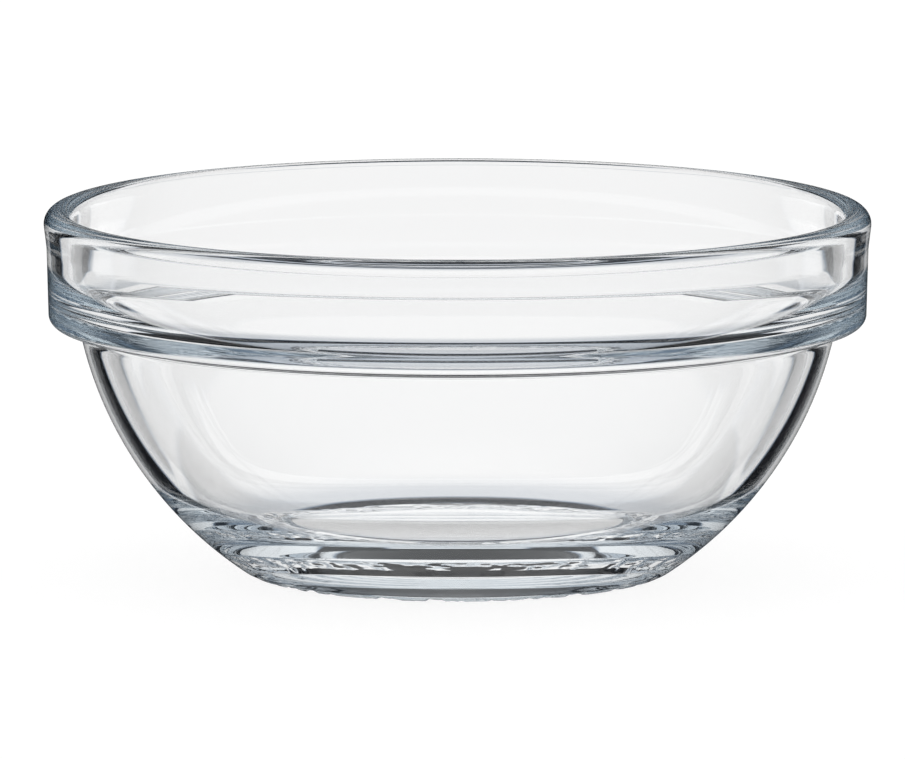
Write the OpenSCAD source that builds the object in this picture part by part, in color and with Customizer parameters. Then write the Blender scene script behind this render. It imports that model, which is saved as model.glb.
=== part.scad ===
// Stacking prep bowl of clear pressed glass.
// One solid, turned about the vertical axis. Millimetres, +Z up.
// The origin is the centre of the foot, on the table.

/* [Overall] */
// Outer diameter over the lip
rim_d = 120; // [110:0.5:135]
// Height from the table to the top of the lip
height = 53.4; // [48:0.2:62]
// Diameter at which the round body would meet the table
foot_d = 59.8; // [52:0.2:68]

/* [Lip] */
// Thickness of the lip, which is a half round on top
lip_t = 4.25; // [3.6:0.05:4.4]
// How far the lip stands out beyond the collar
lip_proud = 0.4; // [0.1:0.05:0.7]
// Height of the lip band, from its lower edge to the top
lip_h = 5.45; // [5.4:0.05:6.4]
// Height over which the lip runs out into the collar
lip_runout = 3.15; // [1:0.05:3.2]
// Rounding of the two bends of that run-out
lip_run_r = 10.4; // [2:0.2:14]

/* [Stacking collar] */
// Height of the collar, from the stacking shoulder to the top of the lip
collar_h = 16.65; // [15:0.05:19]
// Width of the shoulder, from the collar's wall to the body
shoulder_w = 4.3; // [4:0.1:5]
// How much the collar's radius narrows from the lip down to the shoulder
collar_draft = 0.3; // [0.1:0.1:1]
// Rounding of the collar's lower edge
collar_edge_r = 1.7; // [1:0.1:1.8]
// Rounding in the corner between the shoulder and the body
shoulder_r = 0.6; // [0.4:0.1:1]

/* [Inside] */
// Wall thickness of the round body at its widest
wall_t = 2.9; // [2.2:0.1:3.4]
// How far the cavity's ball lies below the body's, which thickens the wall upwards
cavity_drop = 0.3; // [0:0.05:0.8]
// Height of the inside floor above the table
floor_z = 5.75; // [4.6:0.05:8]
// Rounding where the wall runs into the floor
floor_r = 24.2; // [18:0.2:28]
// Depth below the lip's top at which the inner wall starts to turn in
ledge_drop = 7.8; // [6:0.1:9]
// Rounding of the ledge's upper bend
ledge_top_r = 11; // [7:0.5:12]
// Rounding of the ledge's lower bend
ledge_low_r = 11.5; // [8:0.5:18]

/* [Foot] */
// Width of the level foot ring
ring_w = 1.2; // [1:0.1:6]
// Depth of the hollow under the base
hollow_depth = 1.8; // [0.6:0.1:2.4]
// Width of the slope from the hollow down to the foot ring
hollow_slope = 1.9; // [1:0.1:3]
// Rounding of the two edges of that slope
hollow_r = 0.8; // [0.4:0.1:1.4]
// Rounding between the foot ring and the body
heel_r = 5.9; // [2:0.1:7]

/* [Smoothness] */
// Largest distance between an arc and its chords
arc_gap = 0.01; // [0.002:0.002:0.05]
// Faces around the axis when drawn as a mesh
turn_faces = 180; // [48:12:360]

/* [Hidden] */
glass = [0.86, 0.93, 0.95, 0.45];

// A straight stretch gives at most this share of its length to each rounding
fit_share = 0.48;

// Radii of the lip, the collar and the body under the shoulder
rim_r = rim_d / 2;
foot_r = foot_d / 2;
collar_r = rim_r - lip_proud;
collar_low_r = collar_r - collar_draft;
body_top_r = collar_low_r - shoulder_w;
mouth_r = rim_r - lip_t;
shoulder_z = height - collar_h;

// The body is a ball on the axis, through the foot's edge and the shoulder's corner
body_z = (pow(body_top_r, 2) + pow(shoulder_z, 2) - pow(foot_r, 2)) / (2 * shoulder_z);
body_r = norm([foot_r, body_z]);
cavity_r = body_r - wall_t;
ball = [0, body_z];
cavity = [0, body_z - cavity_drop];

// Centres of the roundings that touch a ball and a level plane
heel = level_touch(ball, body_r - heel_r, heel_r);
under = level_touch(ball, body_r + shoulder_r, shoulder_z - shoulder_r);
bend = level_touch(cavity, cavity_r - floor_r, floor_z + floor_r);

// Centres of the two bends of the ledge: the upper touches the collar's inner wall,
// the lower touches the cavity's ball, and they touch each other
ledge_top = [mouth_r - ledge_top_r, height - ledge_drop];
ledge_low = meet(cavity, cavity_r + ledge_low_r, ledge_top, ledge_top_r + ledge_low_r);

// Centre of the lip's half round
lip = [rim_r - lip_t / 2, height - lip_t / 2];

// Direction from one point to another, in degrees
function way(p, q) = atan2(q[1] - p[1], q[0] - p[0]);

function unit(v) = v / norm(v);

// The point at height z that lies at a given distance from a centre on the axis
function level_touch(c, reach, z) = [sqrt(pow(reach, 2) - pow(c[1] - z, 2)), z];

// The lower one of the two points at distance r from p and s from q
function meet(p, r, q, s) =
    let (
        d = norm(q - p),
        u = unit(q - p),
        along = (d * d + r * r - s * s) / (2 * d),
        across = sqrt(r * r - along * along)
    )
    p + along * u + across * [u[1], -u[0]];

// Points of an arc about c from angle a to angle b
function arc(c, r, a, b) =
    let (n = max(3, ceil(abs(b - a) / (2 * acos(1 - arc_gap / r)))))
    [for (i = [0 : n]) c + r * [cos(a + (b - a) * i / n), sin(a + (b - a) * i / n)]];

// The same arc without its first point, to follow on from another arc
function onward(c, r, a, b) = let (p = arc(c, r, a, b)) [for (i = [1 : len(p) - 1]) p[i]];

// Points of the rounding of corner q between p and s
function rounded(p, q, s, r) =
    let (
        u = unit(p - q),
        v = unit(s - q),
        half = acos(u * v) / 2,
        reach = min(r / tan(half), fit_share * min(norm(p - q), norm(s - q))),
        c = q + unit(u + v) * reach / cos(half),
        a = way(c, q + u * reach),
        b = way(c, q + v * reach),
        turn = (b - a + 540) % 360 - 180
    )
    arc(c, reach * tan(half), a, a + turn);

// Outline of the glass to one side of the axis, from the hollow under the base,
// up the outside, over the lip and down the inside to the floor
hollow_out = [heel[0] - ring_w, 0];
hollow_in = [hollow_out[0] - hollow_slope, hollow_depth];
collar_low = [collar_low_r, shoulder_z];
collar_top = [collar_r, height - lip_h];
lip_low = [rim_r, height - lip_h + lip_runout];
ledge_end = (way(ledge_low, cavity) + 360) % 360;

outline = concat(
    [[0, hollow_depth]],
    rounded([0, hollow_depth], hollow_in, hollow_out, hollow_r),
    rounded(hollow_in, hollow_out, [heel[0], 0], hollow_r),
    arc(heel, heel_r, -90, way(ball, heel)),
    onward(ball, body_r, way(ball, heel), way(ball, under)),
    onward(under, shoulder_r, way(under, ball), 90),
    rounded([under[0], shoulder_z], collar_low, collar_top, collar_edge_r),
    rounded(collar_low, collar_top, lip_low, lip_run_r),
    rounded(collar_top, lip_low, [rim_r, lip[1]], lip_run_r),
    arc(lip, lip_t / 2, 0, 180),
    arc(ledge_top, ledge_top_r, 0, way(ledge_top, ledge_low)),
    onward(ledge_low, ledge_low_r, way(ledge_low, ledge_top), ledge_end),
    onward(cavity, cavity_r, way(cavity, ledge_low), way(cavity, bend)),
    onward(bend, floor_r, way(cavity, bend), -90),
    [[0, floor_z]]
);

// The bowl: foot, round body, stacking collar and lip pressed as one piece of glass
module bowl() {
    color(glass)
        rotate_extrude($fn = turn_faces)
            polygon(outline);
}

bowl();
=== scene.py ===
"""Looks of a stacking prep bowl of clear pressed glass, built round its CAD frame, in metres."""

import math

import bpy
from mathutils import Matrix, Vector


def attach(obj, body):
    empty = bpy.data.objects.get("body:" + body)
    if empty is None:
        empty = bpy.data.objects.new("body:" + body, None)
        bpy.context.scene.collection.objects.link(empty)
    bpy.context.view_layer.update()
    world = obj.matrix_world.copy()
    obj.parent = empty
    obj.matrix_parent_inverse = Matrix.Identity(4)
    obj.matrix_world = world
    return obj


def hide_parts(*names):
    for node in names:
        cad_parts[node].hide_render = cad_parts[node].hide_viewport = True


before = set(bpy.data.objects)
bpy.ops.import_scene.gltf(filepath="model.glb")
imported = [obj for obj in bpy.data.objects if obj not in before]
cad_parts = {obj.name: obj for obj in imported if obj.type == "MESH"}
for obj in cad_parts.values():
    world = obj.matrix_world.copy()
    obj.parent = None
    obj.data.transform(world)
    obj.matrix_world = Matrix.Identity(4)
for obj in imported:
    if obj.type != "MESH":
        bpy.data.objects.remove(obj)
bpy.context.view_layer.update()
scene = bpy.context.scene

# The bowl
# One pressing of clear soda-lime glass: foot, ball-shaped body, stacking collar and lip.
# The plunger leaves the inside smooth, the mould leaves the outside slightly uneven, and the
# foot ring is nicked all round so that it does not slide.

# The section's sizes in millimetres. They are the CAD part's, but for a larger shoulder_round.
MM = 0.001

lip_diameter = 120.0
height = 53.4
foot_diameter = 59.8

lip_thickness = 4.25
lip_proud = 0.4
lip_band = 5.45
lip_runout = 3.15
lip_runout_round = 10.4

collar_height = 16.65
shoulder_width = 4.3
collar_draft = 0.3
collar_edge_round = 1.7
shoulder_round = 1.8

wall = 2.9
cavity_drop = 0.3
floor_height = 5.75
floor_round = 24.2
ledge_drop = 7.8
ledge_top_round = 11.0
ledge_low_round = 11.5

ring_width = 1.2
hollow_depth = 1.8
hollow_slope = 1.9
hollow_round = 0.8
heel_round = 5.9

# A chord leaves its arc by no more than this
arc_gap = 0.0012
# A straight stretch gives at most this share of its length to each rounding
fit_share = 0.48

quarter = math.pi / 2
half_turn = 2 * quarter
full_turn = 4 * quarter


def direction(p, q):
    """Angle of the way from p to q in the section, in radians."""
    return math.atan2(q.y - p.y, q.x - p.x)


def arc(centre, radius, start, end):
    """Points of an arc in the section, both ends included."""
    step = 2 * math.acos(1 - arc_gap / radius)
    count = max(3, math.ceil(abs(end - start) / step))
    turns = [start + (end - start) * i / count for i in range(count + 1)]
    return [centre + radius * Vector((math.cos(t), math.sin(t))) for t in turns]


def rounded(before, corner, after, radius):
    """Points of the rounding of a corner, cut short where its sides are short."""
    u, v = (before - corner).normalized(), (after - corner).normalized()
    half = u.angle(v) / 2
    room = fit_share * min((before - corner).length, (after - corner).length)
    reach = min(radius / math.tan(half), room)
    centre = corner + (u + v).normalized() * reach / math.cos(half)
    start = direction(centre, corner + u * reach)
    end = direction(centre, corner + v * reach)
    turn = (end - start + half_turn + full_turn) % full_turn - half_turn
    return arc(centre, reach * math.tan(half), start, start + turn)


def level_touch(centre, reach, level):
    """The point at a height whose distance from a centre on the axis is reach."""
    return Vector((math.sqrt(reach**2 - (centre.y - level) ** 2), level))


def lower_meeting(p, r, q, s):
    """The lower one of the two points at distance r from p and s from q."""
    gap = q - p
    along = (gap.length_squared + r * r - s * s) / (2 * gap.length)
    across = math.sqrt(r * r - along * along)
    u = gap.normalized()
    return p + along * u + across * Vector((u.y, -u.x))


lip_radius = lip_diameter / 2
collar_radius = lip_radius - lip_proud
collar_low_radius = collar_radius - collar_draft
body_top_radius = collar_low_radius - shoulder_width
mouth_radius = lip_radius - lip_thickness
foot_radius = foot_diameter / 2
shoulder_height = height - collar_height

# The body is a ball through the foot's edge and the shoulder's corner, the cavity another one
ball_height = (body_top_radius**2 + shoulder_height**2 - foot_radius**2) / (2 * shoulder_height)
ball = Vector((0, ball_height))
ball_radius = math.hypot(foot_radius, ball_height)
cavity = ball - Vector((0, cavity_drop))
cavity_radius = ball_radius - wall

# Centres of the roundings
heel = level_touch(ball, ball_radius - heel_round, heel_round)
under = level_touch(ball, ball_radius + shoulder_round, shoulder_height - shoulder_round)
bend = level_touch(cavity, cavity_radius - floor_round, floor_height + floor_round)
ledge_top = Vector((mouth_radius - ledge_top_round, height - ledge_drop))
ledge_low = lower_meeting(
    cavity, cavity_radius + ledge_low_round, ledge_top, ledge_top_round + ledge_low_round
)
lip = Vector((lip_radius - lip_thickness / 2, height - lip_thickness / 2))

# Corners of the section
hollow_middle = Vector((0, hollow_depth))
foot_ring = Vector((heel.x, 0))
hollow_out = Vector((heel.x - ring_width, 0))
hollow_in = Vector((hollow_out.x - hollow_slope, hollow_depth))
shoulder_in = Vector((under.x, shoulder_height))
collar_low = Vector((collar_low_radius, shoulder_height))
collar_top = Vector((collar_radius, height - lip_band))
lip_low = Vector((lip_radius, height - lip_band + lip_runout))
lip_side = Vector((lip_radius, lip.y))

# From the hollow under the base, up the outside, over the lip and down the inside to the floor
outline = [hollow_middle]
outline += rounded(hollow_middle, hollow_in, hollow_out, hollow_round)
outline += rounded(hollow_in, hollow_out, foot_ring, hollow_round)
outline += arc(heel, heel_round, -quarter, direction(ball, heel))
outline += arc(ball, ball_radius, direction(ball, heel), direction(ball, under))[1:]
outline += arc(under, shoulder_round, direction(under, ball), quarter)[1:]
outline += rounded(shoulder_in, collar_low, collar_top, collar_edge_round)
outline += rounded(collar_low, collar_top, lip_low, lip_runout_round)
outline += rounded(collar_top, lip_low, lip_side, lip_runout_round)
outline += arc(lip, lip_thickness / 2, 0, half_turn)
outline += arc(ledge_top, ledge_top_round, 0, direction(ledge_top, ledge_low))
low_end = direction(ledge_low, cavity) % full_turn
outline += arc(ledge_low, ledge_low_round, direction(ledge_low, ledge_top), low_end)[1:]
outline += arc(cavity, cavity_radius, direction(cavity, ledge_low), direction(cavity, bend))[1:]
outline += arc(bend, floor_round, direction(cavity, bend), -quarter)[1:]
outline.append(Vector((0, floor_height)))

# The section as a chain of edges, from the inner floor down to the hollow, so that the turned
# faces look outwards. It is drawn off the path by which it is turned, and hangs downwards.
path_radius = lip_radius
same_point = 1e-8
chain = [Vector(((p.x - path_radius) * MM, -p.y * MM, 0)) for p in reversed(outline)]
chain = chain[:1] + [b for a, b in zip(chain, chain[1:]) if (b - a).length > same_point]
section_mesh = bpy.data.meshes.new("bowl_section")
section_mesh.from_pydata(chain, [(i, i + 1) for i in range(len(chain) - 1)], [])
section = bpy.data.objects.new("bowl_section", section_mesh)
scene.collection.objects.link(section)


def node(tree, kind, inputs=None, **settings):
    """A node of a tree, with its settings and its inputs, which are numbers or other sockets."""
    made = tree.nodes.new(kind)
    for name, value in settings.items():
        setattr(made, name, value)
    for key, value in (inputs or {}).items():
        if isinstance(value, bpy.types.NodeSocket):
            tree.links.new(value, made.inputs[key])
        else:
            made.inputs[key].default_value = value
    return made


def maths(tree, operation, *values):
    """A Math node's result."""
    return node(tree, "ShaderNodeMath", dict(enumerate(values)), operation=operation).outputs[0]


def ramp(tree, value, start, end, low, high):
    """A smooth change from low to high while a value goes from start to end."""
    ends = {"Value": value, 1: start, 2: end, 3: low, 4: high}
    return node(tree, "ShaderNodeMapRange", ends, interpolation_type="SMOOTHSTEP").outputs[0]


# Turning tree: the section goes round the axis, the mould's ripple moves the wall in and out by
# hundredths of a millimetre, and nicks are cut up into the foot ring.
turning = bpy.data.node_groups.new("turned_glass", "GeometryNodeTree")
turning_inputs = {
    "Facets": ("NodeSocketInt", 320),
    "Path Radius": ("NodeSocketFloat", path_radius * MM),
    "Ripple Height": ("NodeSocketFloat", 0.02 * MM),
    "Ripple Length": ("NodeSocketFloat", 45 * MM),
    "Nick Height": ("NodeSocketFloat", 0.4 * MM),
    "Nick Count": ("NodeSocketFloat", 64.0),
    "Seed": ("NodeSocketFloat", 3.0),
    "Glass": ("NodeSocketMaterial", None),
}
turning.interface.new_socket("Section", in_out="INPUT", socket_type="NodeSocketGeometry")
sockets = {
    name: turning.interface.new_socket(name, in_out="INPUT", socket_type=kind)
    for name, (kind, _) in turning_inputs.items()
}
turning.interface.new_socket("Bowl", in_out="OUTPUT", socket_type="NodeSocketGeometry")
given = node(turning, "NodeGroupInput").outputs
profile = node(turning, "GeometryNodeMeshToCurve", {"Mesh": given["Section"]})
path = node(
    turning,
    "GeometryNodeCurvePrimitiveCircle",
    {"Resolution": given["Facets"], "Radius": given["Path Radius"]},
)
turned = node(
    turning,
    "GeometryNodeCurveToMesh",
    {"Curve": path.outputs["Curve"], "Profile Curve": profile.outputs["Curve"]},
)
# The section's two ends meet on the axis and are merged there
closed = node(
    turning, "GeometryNodeMergeByDistance", {"Geometry": turned.outputs["Mesh"], "Distance": 1e-7}
)
place = node(turning, "GeometryNodeInputPosition").outputs["Position"]
outward = node(turning, "GeometryNodeInputNormal").outputs["Normal"]
place_height = node(turning, "ShaderNodeSeparateXYZ", {0: place}).outputs["Z"]

# The ripple is weak in the thick base and strong in the wall and collar
ripple_grows = (10 * MM, 26 * MM)
ripple_shares = (0.2, 2.0)
noise_middle = 0.5
ripple = node(
    turning,
    "ShaderNodeTexNoise",
    {
        "Vector": place,
        "W": given["Seed"],
        "Scale": maths(turning, "DIVIDE", 1.0, given["Ripple Length"]),
        "Detail": 0.0,
    },
    noise_dimensions="4D",
)
ripple_share = ramp(turning, place_height, *ripple_grows, *ripple_shares)
swell = maths(
    turning,
    "MULTIPLY",
    maths(turning, "SUBTRACT", ripple.outputs[0], noise_middle),
    maths(turning, "MULTIPLY", given["Ripple Height"], ripple_share),
)
push = node(turning, "ShaderNodeVectorMath", {0: outward, "Scale": swell}, operation="SCALE")
rippled = node(
    turning,
    "GeometryNodeSetPosition",
    {"Geometry": closed.outputs["Geometry"], "Offset": push.outputs[0]},
)

# The nicks follow a noise round the ring and end a little above the table
ring_length = 0.17
nick_edge = (0.45, 0.62)
nick_end = 0.9 * MM
stipple = node(
    turning,
    "ShaderNodeTexNoise",
    {
        "Vector": place,
        "W": given["Seed"],
        "Scale": maths(turning, "DIVIDE", given["Nick Count"], ring_length),
        "Detail": 2.0,
    },
    noise_dimensions="4D",
)
nick = maths(
    turning,
    "MULTIPLY",
    ramp(turning, stipple.outputs[0], *nick_edge, 0.0, 1.0),
    ramp(turning, place_height, 0.0, nick_end, 1.0, 0.0),
)
cut = node(
    turning,
    "ShaderNodeCombineXYZ",
    {"Z": maths(turning, "MULTIPLY", nick, given["Nick Height"])},
)
nicked = node(
    turning,
    "GeometryNodeSetPosition",
    {"Geometry": rippled.outputs["Geometry"], "Offset": cut.outputs[0]},
)
smooth = node(turning, "GeometryNodeSetShadeSmooth", {"Geometry": nicked.outputs["Geometry"]})
whole = node(turning, "GeometryNodeRealizeInstances", {"Geometry": smooth.outputs["Geometry"]})
coated = node(
    turning,
    "GeometryNodeSetMaterial",
    {"Geometry": whole.outputs["Geometry"], "Material": given["Glass"]},
)
node(turning, "NodeGroupOutput", {"Bowl": coated.outputs["Geometry"]})

# Fire-polished skin: a faint orange-peel bump, and a dull worn ring where the foot slides
# on tables.
skin = bpy.data.node_groups.new("fire_polished_skin", "ShaderNodeTree")
for name in ("Peel Scale", "Gloss", "Worn", "Worn Height"):
    skin.interface.new_socket(name, in_out="INPUT", socket_type="NodeSocketFloat")
for name in ("Height", "Roughness"):
    skin.interface.new_socket(name, in_out="OUTPUT", socket_type="NodeSocketFloat")
asked = node(skin, "NodeGroupInput").outputs
coords = node(skin, "ShaderNodeTexCoord").outputs["Object"]
peel = node(
    skin,
    "ShaderNodeTexNoise",
    {"Vector": coords, "Scale": asked["Peel Scale"], "Detail": 2.0},
).outputs[0]
skin_height = node(skin, "ShaderNodeSeparateXYZ", {0: coords}).outputs["Z"]
rubbed = maths(skin, "LESS_THAN", skin_height, asked["Worn Height"])
scuffs = node(
    skin, "ShaderNodeTexNoise", {"Vector": coords, "Scale": 900.0, "Detail": 3.0}
).outputs[0]
dull = maths(skin, "MULTIPLY", maths(skin, "MULTIPLY", rubbed, scuffs), asked["Worn"])
haze = maths(skin, "MULTIPLY", peel, asked["Gloss"])
node(skin, "NodeGroupOutput", {"Height": peel, "Roughness": maths(skin, "ADD", haze, dull)})

glass = bpy.data.materials.new("clear_glass")
glass.use_nodes = True
glass_tree = glass.node_tree
shader = glass_tree.nodes["Principled BSDF"]
polish = node(glass_tree, "ShaderNodeGroup", node_tree=skin)
polish.inputs["Peel Scale"].default_value = 60.0
polish.inputs["Gloss"].default_value = 0.01
polish.inputs["Worn"].default_value = 0.2
polish.inputs["Worn Height"].default_value = 0.08 * MM
glass_tree.links.new(polish.outputs["Roughness"], shader.inputs["Roughness"])
peeled = node(
    glass_tree,
    "ShaderNodeBump",
    {"Strength": 0.1, "Distance": 0.05 * MM, "Height": polish.outputs["Height"]},
)
glass_tree.links.new(peeled.outputs[0], shader.inputs["Normal"])
shader.inputs["Base Color"].default_value = (1.0, 1.0, 1.0, 1.0)
shader.inputs["Transmission Weight"].default_value = 1.0
shader.inputs["IOR"].default_value = 1.52
body_tint = node(
    glass_tree, "ShaderNodeVolumeAbsorption", {"Color": (0.25, 0.50, 0.65, 1.0), "Density": 2.5}
)
glass_out = glass_tree.nodes["Material Output"]
glass_tree.links.new(body_tint.outputs[0], glass_out.inputs["Volume"])

turn = section.modifiers.new("turn", "NODES")
turn.node_group = turning
for name, (_, value) in turning_inputs.items():
    turn[sockets[name].identifier] = glass if name == "Glass" else value
bowl_mesh = bpy.data.meshes.new_from_object(
    section.evaluated_get(bpy.context.evaluated_depsgraph_get())
)
bpy.data.objects.remove(section)
bowl = bpy.data.objects.new("bowl_glass", bowl_mesh)
bowl_mesh.name = "bowl_glass"
scene.collection.objects.link(bowl)
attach(bowl, "root")
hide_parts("bowl")

# The table
# A plain white table top. Its own light keeps it white, and a thin share of plain paint takes
# the bowl's soft shadow. Rays that crossed one wall of glass find it white close to the bowl,
# and all others from inside the glass pass through it to the studio's light.
table_half = 3.0
table_level = -0.0002
table_paint = 0.2
table_glow = 0.84
white_radius = 0.092

# Light Path counts: a wall has two surfaces, and a ray that was not mirrored has none
one_wall_count = 2.5
no_mirror_count = 0.5

corners = ((-1, -1), (1, -1), (1, 1), (-1, 1))
table_mesh = bpy.data.meshes.new("table")
table_mesh.from_pydata(
    [(table_half * x, table_half * y, table_level) for x, y in corners], [], [(0, 1, 2, 3)]
)
table = bpy.data.objects.new("table", table_mesh)
scene.collection.objects.link(table)
paint = bpy.data.materials.new("white_table")
paint.use_nodes = True
paint_tree = paint.node_tree
paint_tree.nodes.clear()
matte_colour = (table_paint, table_paint, table_paint, 1.0)
matte = node(paint_tree, "ShaderNodeBsdfDiffuse", {"Color": matte_colour})
own_light = node(paint_tree, "ShaderNodeEmission", {"Strength": table_glow})
painted = node(paint_tree, "ShaderNodeAddShader", {0: matte.outputs[0], 1: own_light.outputs[0]})
table_rays = node(paint_tree, "ShaderNodeLightPath").outputs
spot = node(paint_tree, "ShaderNodeNewGeometry").outputs["Position"]
spot_radius = node(paint_tree, "ShaderNodeVectorMath", {0: spot}, operation="LENGTH")
near = maths(paint_tree, "LESS_THAN", spot_radius.outputs["Value"], white_radius)
thin_glass = maths(paint_tree, "LESS_THAN", table_rays["Transmission Depth"], one_wall_count)
unmirrored = maths(paint_tree, "LESS_THAN", table_rays["Glossy Depth"], no_mirror_count)
under_glass = maths(
    paint_tree, "MULTIPLY", near, maths(paint_tree, "MULTIPLY", thin_glass, unmirrored)
)
passing = node(paint_tree, "ShaderNodeBsdfTransparent").outputs[0]
white_spot = node(paint_tree, "ShaderNodeEmission", {"Strength": 1.0}).outputs[0]
from_glass = node(paint_tree, "ShaderNodeMixShader", {0: under_glass, 1: passing, 2: white_spot})
table_top = node(
    paint_tree,
    "ShaderNodeMixShader",
    {0: table_rays["Is Transmission Ray"], 1: painted.outputs[0], 2: from_glass.outputs[0]},
)
node(paint_tree, "ShaderNodeOutputMaterial", {"Surface": table_top.outputs[0]})
table_mesh.materials.append(paint)
table.visible_glossy = False

# The studio
# White panels stand round the bowl with dark gaps between them, under a dark band and a white
# ceiling. The glass shows the panels as clear areas and the gaps and the band as its dark edges.
# What a ray finds also depends on how often the glass mirrored it and how many walls it crossed.
world = bpy.data.worlds.new("studio")
scene.world = world
world.use_nodes = True
studio = world.node_tree
studio.nodes.clear()


def times(*values):
    """The product of values in the studio's tree."""
    product = values[0]
    for value in values[1:]:
        product = maths(studio, "MULTIPLY", product, value)
    return product


def larger(a, b):
    """The larger one of two values."""
    return maths(studio, "MAXIMUM", a, b)


def rest(value):
    """What a value leaves of 1."""
    return maths(studio, "SUBTRACT", 1.0, value)


def fade_in(value, edge):
    """From 0 to 1 while a value crosses an edge, which has a start and an end."""
    return ramp(studio, value, *edge, 0.0, 1.0)


def fade_out(value, edge):
    """From 1 to 0 while a value crosses an edge."""
    return ramp(studio, value, *edge, 1.0, 0.0)


def blend(factor, a, b):
    """The number a, or b where the factor is 1."""
    return node(studio, "ShaderNodeMix", {"Factor": factor, 2: a, 3: b}).outputs[0]


def blend_colour(factor, a, b):
    """The colour a, or b where the factor is 1."""
    colours = {"Factor": factor, 6: a, 7: b}
    return node(studio, "ShaderNodeMix", colours, data_type="RGBA").outputs[2]


def graded(value, stops):
    """A colour that follows a value through stops, each a position and a colour."""
    grade = node(studio, "ShaderNodeValToRGB", {"Fac": value})
    elements = grade.color_ramp.elements
    elements.remove(elements[1])
    elements[0].position, elements[0].color = stops[0][0], (*stops[0][1], 1.0)
    for position, colour in stops[1:]:
        elements.new(position).color = (*colour, 1.0)
    return grade.outputs["Color"]


# Where a ray goes, in degrees: its rise above the level, its way round from the back, and how
# far that is from the nearest of the four sides and from the line between front and back
degree = 180 / math.pi
side_half = 45.0
sight_half = 90.0
upright = 90.0
once_round = 360.0
way = node(studio, "ShaderNodeTexCoord").outputs["Generated"]
along = node(studio, "ShaderNodeSeparateXYZ", {0: way}).outputs
rise = times(maths(studio, "ARCSINE", along["Z"]), degree)
tilt = maths(studio, "ABSOLUTE", rise)
round_way = times(maths(studio, "ARCTAN2", along["X"], along["Y"]), degree)
from_back = maths(studio, "ABSOLUTE", round_way)
counted_way = maths(studio, "ADD", round_way, once_round)
from_side = maths(studio, "PINGPONG", counted_way, side_half)
from_sight = maths(studio, "PINGPONG", counted_way, sight_half)

# How it got there: mirrored not at all, once, twice or more, or very often, and through how
# many surfaces
one_mirror_count = 1.5
deep_edge = (5.4, 5.6)
rays = node(studio, "ShaderNodeLightPath").outputs
mirrored = rays["Glossy Depth"]
crossed = rays["Transmission Depth"]
single = maths(studio, "COMPARE", mirrored, 1.0, 0.1)
straight = maths(studio, "LESS_THAN", mirrored, no_mirror_count)
bent_back = maths(studio, "GREATER_THAN", mirrored, no_mirror_count)
twice = maths(studio, "GREATER_THAN", mirrored, one_mirror_count)
deep = fade_in(mirrored, deep_edge)
one_wall = maths(studio, "LESS_THAN", crossed, one_wall_count)

# Panels on the four sides and, past the gaps, across the four corners. The gaps end above the
# table for straight rays, the corner panels stand taller for rays mirrored twice or more, and a
# ray mirrored once towards the front finds none.
panel_edge = (11.5, 14.0)
corner_edge = (26.0, 29.0)
gap_foot = (-21.0, -17.0)
front_edge = (50.0, 80.0)
tall_edge = (26.0, 30.0)
tall_by = 9.0
panel_top = (5.0, 7.0)
ceiling_edge = (25.0, 29.0)
lost = times(single, fade_in(from_back, front_edge))
corner_panel = times(fade_in(from_side, corner_edge), rest(lost))
between = maths(studio, "SUBTRACT", fade_in(from_side, panel_edge), corner_panel)
gap = larger(times(between, larger(fade_in(rise, gap_foot), bent_back)), lost)
lift = times(tall_by, fade_in(from_side, tall_edge), twice)
panels = times(rest(gap), fade_out(maths(studio, "SUBTRACT", rise, lift), panel_top))
ceiling = fade_in(rise, ceiling_edge)

# Below them the glass looks down past the table: dark on the four sides but for one bright
# strip, light elsewhere, and white for straight rays that look aside or crossed one wall only
low_edge = (-32.5, -30.5)
strip_top = (-37.3, -36.3)
strip_foot = (-41.3, -40.3)
strip_light = 0.8
low_side_edge = (15.0, 20.0)
low_side_light = 0.03
thin_foot = (-50.0, -46.0)
aside_edge = (15.0, 20.0)
low = fade_out(rise, low_edge)
strip = times(strip_light, fade_out(rise, strip_top), fade_in(rise, strip_foot))
low_side = ramp(studio, from_side, *low_side_edge, low_side_light, 1.0)
low_light = times(larger(strip, low_side), rest(single))
seen = blend(low, maths(studio, "ADD", panels, ceiling), low_light)
thin = times(one_wall, fade_in(rise, thin_foot))
aside = fade_in(from_sight, aside_edge)
seen = larger(seen, times(low, larger(aside, thin), straight))

# A soft shade on the lower part of the panels in front and behind, seen through two walls
shade_depth = 0.25
shade_top = (-28.0, -19.0)
shade_foot = (-46.0, -42.0)
shade_side = (15.0, 25.0)
shade_height = times(shade_depth, fade_out(rise, shade_top), fade_in(rise, shade_foot))
shade_width = times(fade_out(from_sight, shade_side), rest(one_wall))
seen = times(seen, rest(times(shade_height, shade_width)))

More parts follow.
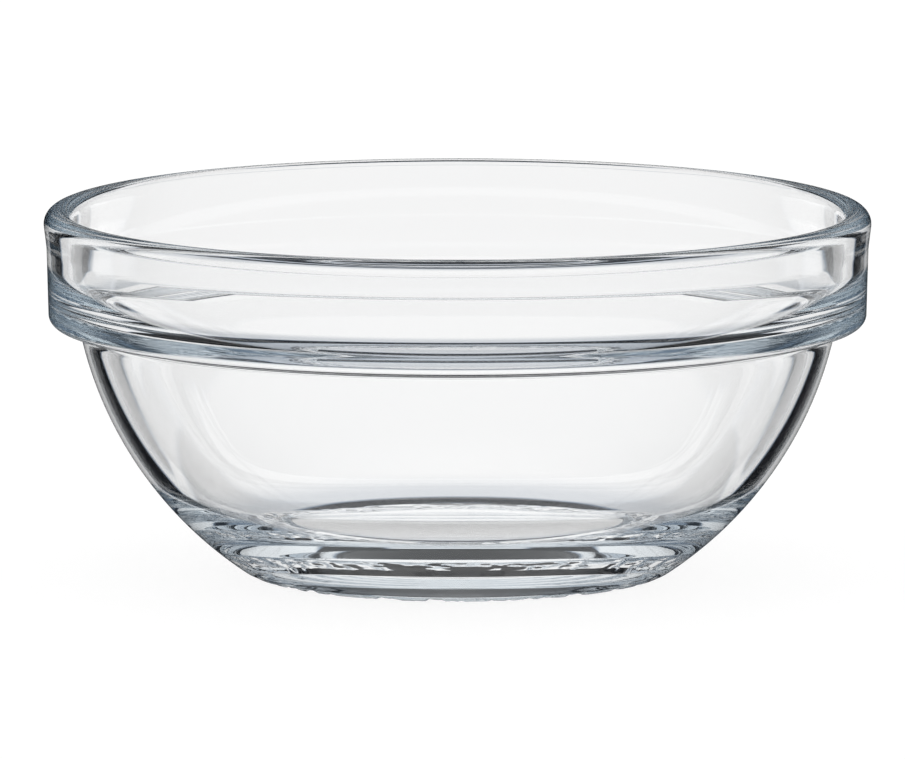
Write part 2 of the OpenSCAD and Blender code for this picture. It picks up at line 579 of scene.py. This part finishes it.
# Light that was mirrored very often comes from level panels and, past a dark stripe, from steep
# directions
white = (1.0, 1.0, 1.0)
steep_white = (0.8, 0.8, 0.8)
stripe_dark = (0.02, 0.02, 0.02)
stripe_starts = (22.0, 24.0)
stripe_ends = (34.5, 36.5)
deep_side_edge = (17.0, 21.0)
deep_side_dark = 0.05
steep_width = 0.85
second_edge = (27.0, 31.0)
second_top = (13.0, 17.0)
second_light = 0.35
stripes = graded(
    maths(studio, "DIVIDE", tilt, upright),
    (
        (0.0, white),
        (stripe_starts[0] / upright, white),
        (stripe_starts[1] / upright, stripe_dark),
        (stripe_ends[0] / upright, stripe_dark),
        (stripe_ends[1] / upright, steep_white),
    ),
)
width = larger(
    ramp(studio, from_side, *deep_side_edge, 1.0, deep_side_dark),
    ramp(studio, tilt, *stripe_ends, 0.0, steep_width),
)
second = times(second_light, fade_in(from_side, second_edge), fade_out(tilt, second_top))
seen = blend(deep, seen, times(stripes, larger(width, second)))

# Dark places are bluish black and half-lit ones bluish grey. A little more light makes up for
# what each wall takes away.
black = (0.004, 0.005, 0.007)
grey = (0.24, 0.30, 0.38)
grey_at = 0.4
gain_counts = (1.0, 5.0)
gains = (0.98, 1.08)
tone = graded(seen, ((0.0, black), (grey_at, grey), (1.0, white)))
gain = ramp(studio, crossed, *gain_counts, *gains)
through_light = node(studio, "ShaderNodeVectorMath", {0: tone, "Scale": gain}, operation="SCALE")
through = rays["Is Transmission Ray"]
light = blend_colour(through, (*white, 1.0), through_light.outputs[0])

# The glass's own gloss mirrors a dark room, and the white table where it looks steeply down
steep_edge = (-65.0, -45.0)
table_gloss = 0.8
room_gloss = 0.01
gloss = ramp(studio, rise, *steep_edge, table_gloss, room_gloss)
gloss_light = node(studio, "ShaderNodeCombineColor", {0: gloss, 1: gloss, 2: gloss})
on_skin = maths(studio, "GREATER_THAN", rays["Is Glossy Ray"], through)
light = blend_colour(on_skin, light, gloss_light.outputs[0])
sky = node(studio, "ShaderNodeBackground", {"Color": light})
node(studio, "ShaderNodeOutputWorld", {"Surface": sky.outputs[0]})

# Light stays long in the thick base and the lip
scene.cycles.max_bounces = 128
scene.cycles.transmission_bounces = 64
scene.cycles.glossy_bounces = 128

# The camera
# A long lens far off, a little above the bowl's lip, as in the photograph.
camera_data = bpy.data.cameras.new("camera")
camera = bpy.data.objects.new("camera", camera_data)
scene.collection.objects.link(camera)
scene.camera = camera
aim = Vector((-0.00073, 0.0, 0.0283))
camera_rise = math.radians(7.86)
camera_distance = 2.5
towards = Vector((0.0, -math.cos(camera_rise), math.sin(camera_rise)))
camera.location = aim + camera_distance * towards
camera.rotation_euler = towards.to_track_quat("Z", "Y").to_euler()
camera_data.sensor_width = 36.0
camera_data.lens = 685.0
camera_data.clip_end = 50.0
scene.view_settings.view_transform = "Standard"
